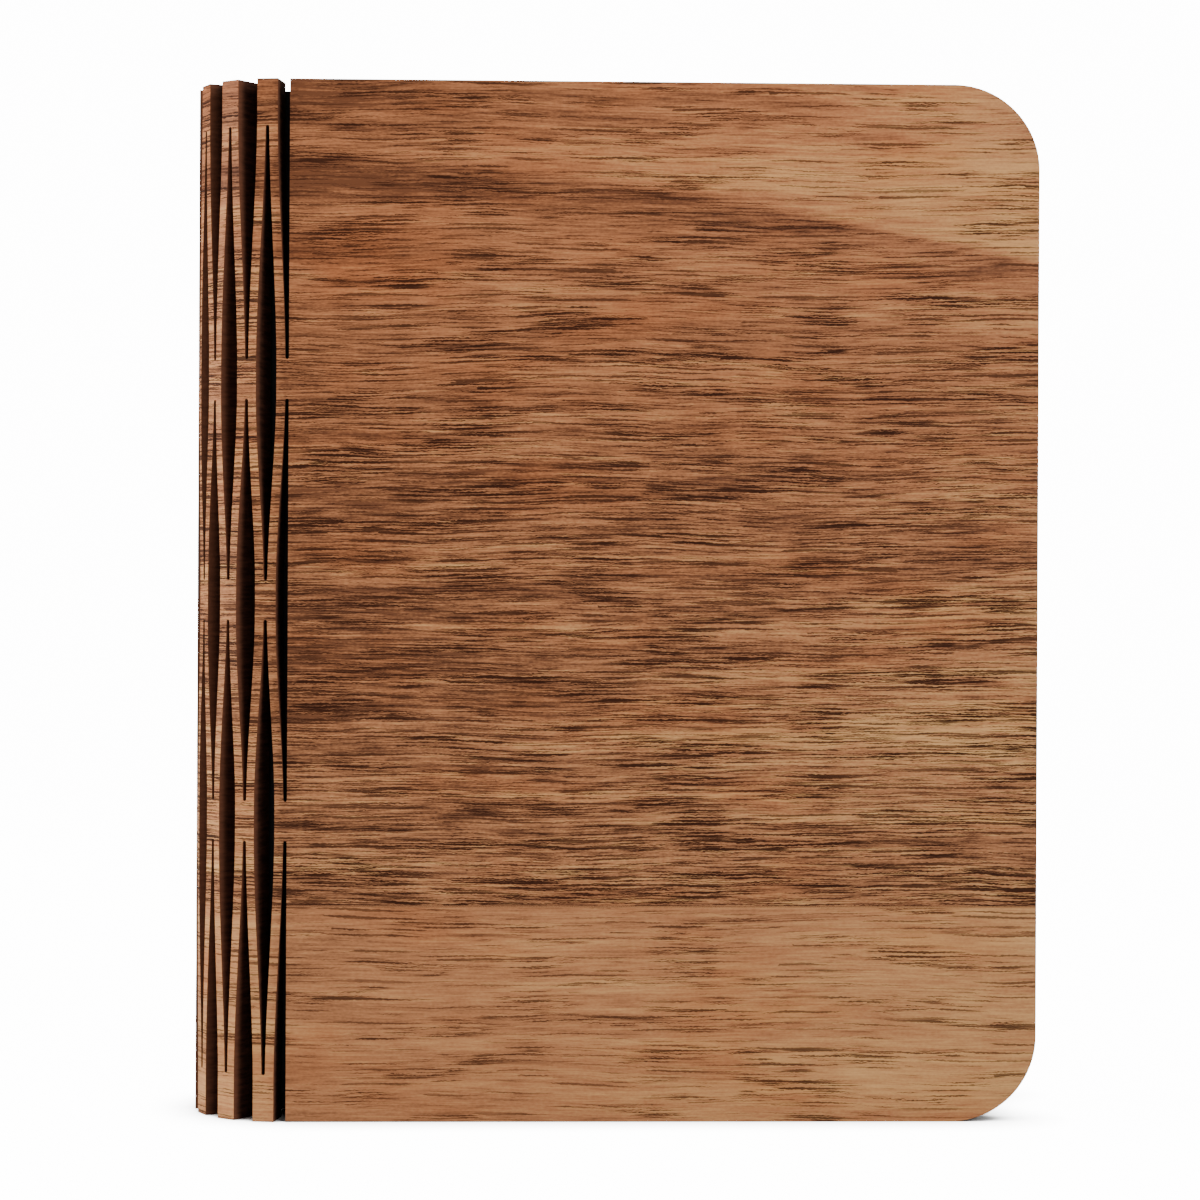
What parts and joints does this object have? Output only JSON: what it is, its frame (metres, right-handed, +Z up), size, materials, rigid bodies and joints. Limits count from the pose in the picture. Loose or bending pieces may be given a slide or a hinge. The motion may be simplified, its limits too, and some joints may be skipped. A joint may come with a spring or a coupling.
{
  "type": "folding book lamp",
  "caption": "Closed wooden book lamp: veneered covers, a laser-cut lattice hinge round the spine, a pleated paper shade and a slim rechargeable light core inside.",
  "frame": {"origin": "on the table under the middle of the closed book's bounding box", "axes": "+Z up the spine, +X from the spine to the fore edge, the front cover faces -Y"},
  "size_m": [0.1184, 0.0252, 0.145],
  "materials": {
    "walnut_veneer": "satin varnish over walnut veneer",
    "walnut_spine": "satin varnish, edges browned by the laser",
    "shade_paper": "matt, water-resistant sheet",
    "liner_paper": "matt sheet glued inside the cover",
    "nickel_plate": "nickel plate",
    "housing_plastic": "fine moulded texture",
    "frosted_diffuser": "frosted, lets light through",
    "white_solder_mask": "white solder mask on aluminium",
    "led_phosphor": "yellow phosphor",
    "cell_sleeve": "shrink sleeve",
    "black_plastic": "moulded",
    "wire_red": "silicone sleeve",
    "wire_white": "silicone sleeve",
    "green_solder_mask": "green solder mask",
    "chip_black": "epoxy package",
    "socket_steel": "plated sheet",
    "clear_pipe": "clear rod",
    "screw_steel": "zinc plate"
  },
  "bodies": {
    "front_cover": {"front_cover": "walnut_veneer", "front_liner": "liner_paper", "front_magnets": "nickel_plate", "switch_magnet": "nickel_plate"},
    "slat_1": {"spine_slat_1": "walnut_spine", "paper_fold_1": "shade_paper"},
    "link_1": {"spine_link_1": "walnut_spine", "paper_fold_2": "shade_paper"},
    "slat_2": {"spine_slat_2": "walnut_spine", "paper_fold_3": "shade_paper"},
    "link_2": {"spine_link_2": "walnut_spine", "paper_fold_4": "shade_paper"},
    "slat_3": {"spine_slat_3": "walnut_spine", "paper_fold_5": "shade_paper"},
    "link_3": {"spine_link_3": "walnut_spine", "paper_fold_6": "shade_paper"},
    "spine_core": {"spine_slat_4": "walnut_spine", "paper_fold_7": "shade_paper", "core_housing": "housing_plastic", "diffuser": "frosted_diffuser", "led_board": "white_solder_mask", "leds": "led_phosphor", "battery_cell": "cell_sleeve", "battery_cradle": "black_plastic", "battery_leads": "wire_red", "led_leads": "wire_white", "charging_board": "green_solder_mask", "board_components": "chip_black", "usb_socket": "socket_steel", "light_pipe": "clear_pipe", "magnet_sensor": "chip_black", "bottom_cap": "housing_plastic", "top_cap": "housing_plastic", "cap_screws": "screw_steel"},
    "link_4": {"spine_link_4": "walnut_spine", "paper_fold_8": "shade_paper"},
    "slat_5": {"spine_slat_5": "walnut_spine", "paper_fold_9": "shade_paper"},
    "link_5": {"spine_link_5": "walnut_spine", "paper_fold_10": "shade_paper"},
    "slat_6": {"spine_slat_6": "walnut_spine", "paper_fold_11": "shade_paper"},
    "link_6": {"spine_link_6": "walnut_spine", "paper_fold_12": "shade_paper"},
    "slat_7": {"spine_slat_7": "walnut_spine", "paper_fold_13": "shade_paper"},
    "back_cover": {"back_cover": "walnut_veneer", "back_liner": "liner_paper", "back_magnets": "nickel_plate"}
  },
  "joints": [
    {"name": "spine_bend_7", "type": "hinge", "parent": "spine_core", "child": "link_3", "pos_m": [-0.05686, -0.0012, 0], "axis": [0, 0, -1], "range_deg": [0, 27.2]},
    {"name": "spine_bend_6", "type": "hinge", "parent": "link_3", "child": "slat_3", "pos_m": [-0.0563, -0.00355, 0], "axis": [0, 0, -1], "range_deg": [0, 27.2]},
    {"name": "spine_bend_5", "type": "hinge", "parent": "slat_3", "child": "link_2", "pos_m": [-0.05522, -0.00569, 0], "axis": [0, 0, -1], "range_deg": [0, 27.2]},
    {"name": "spine_bend_4", "type": "hinge", "parent": "link_2", "child": "slat_2", "pos_m": [-0.05366, -0.00753, 0], "axis": [0, 0, -1], "range_deg": [0, 27.2]},
    {"name": "spine_bend_3", "type": "hinge", "parent": "slat_2", "child": "link_1", "pos_m": [-0.05171, -0.00895, 0], "axis": [0, 0, -1], "range_deg": [0, 27.2]},
    {"name": "spine_bend_2", "type": "hinge", "parent": "link_1", "child": "slat_1", "pos_m": [-0.04949, -0.00988, 0], "axis": [0, 0, -1], "range_deg": [0, 27.2]},
    {"name": "spine_bend_1", "type": "hinge", "parent": "slat_1", "child": "front_cover", "pos_m": [-0.04706, -0.01025, 0], "axis": [0, 0, -1], "range_deg": [0, 18.81]},
    {"name": "spine_bend_8", "type": "hinge", "parent": "spine_core", "child": "link_4", "pos_m": [-0.05686, 0.0012, 0], "axis": [0, 0, 1], "range_deg": [0, 27.2]},
    {"name": "spine_bend_9", "type": "hinge", "parent": "link_4", "child": "slat_5", "pos_m": [-0.0563, 0.00355, 0], "axis": [0, 0, 1], "range_deg": [0, 27.2]},
    {"name": "spine_bend_10", "type": "hinge", "parent": "slat_5", "child": "link_5", "pos_m": [-0.05522, 0.00569, 0], "axis": [0, 0, 1], "range_deg": [0, 27.2]},
    {"name": "spine_bend_11", "type": "hinge", "parent": "link_5", "child": "slat_6", "pos_m": [-0.05366, 0.00753, 0], "axis": [0, 0, 1], "range_deg": [0, 27.2]},
    {"name": "spine_bend_12", "type": "hinge", "parent": "slat_6", "child": "link_6", "pos_m": [-0.05171, 0.00895, 0], "axis": [0, 0, 1], "range_deg": [0, 27.2]},
    {"name": "spine_bend_13", "type": "hinge", "parent": "link_6", "child": "slat_7", "pos_m": [-0.04949, 0.00988, 0], "axis": [0, 0, 1], "range_deg": [0, 27.2]},
    {"name": "spine_bend_14", "type": "hinge", "parent": "slat_7", "child": "back_cover", "pos_m": [-0.04706, 0.01025, 0], "axis": [0, 0, 1], "range_deg": [0, 18.81]}
  ],
  "couplings": [
    {"joint": "spine_bend_1", "follows": "spine_bend_7", "ratio": 0.69145},
    {"joint": "spine_bend_2", "follows": "spine_bend_7", "ratio": 1},
    {"joint": "spine_bend_3", "follows": "spine_bend_7", "ratio": 1},
    {"joint": "spine_bend_4", "follows": "spine_bend_7", "ratio": 1},
    {"joint": "spine_bend_5", "follows": "spine_bend_7", "ratio": 1},
    {"joint": "spine_bend_6", "follows": "spine_bend_7", "ratio": 1},
    {"joint": "spine_bend_8", "follows": "spine_bend_7", "ratio": 1},
    {"joint": "spine_bend_9", "follows": "spine_bend_7", "ratio": 1},
    {"joint": "spine_bend_10", "follows": "spine_bend_7", "ratio": 1},
    {"joint": "spine_bend_11", "follows": "spine_bend_7", "ratio": 1},
    {"joint": "spine_bend_12", "follows": "spine_bend_7", "ratio": 1},
    {"joint": "spine_bend_13", "follows": "spine_bend_7", "ratio": 1},
    {"joint": "spine_bend_14", "follows": "spine_bend_7", "ratio": 0.69145}
  ]
}
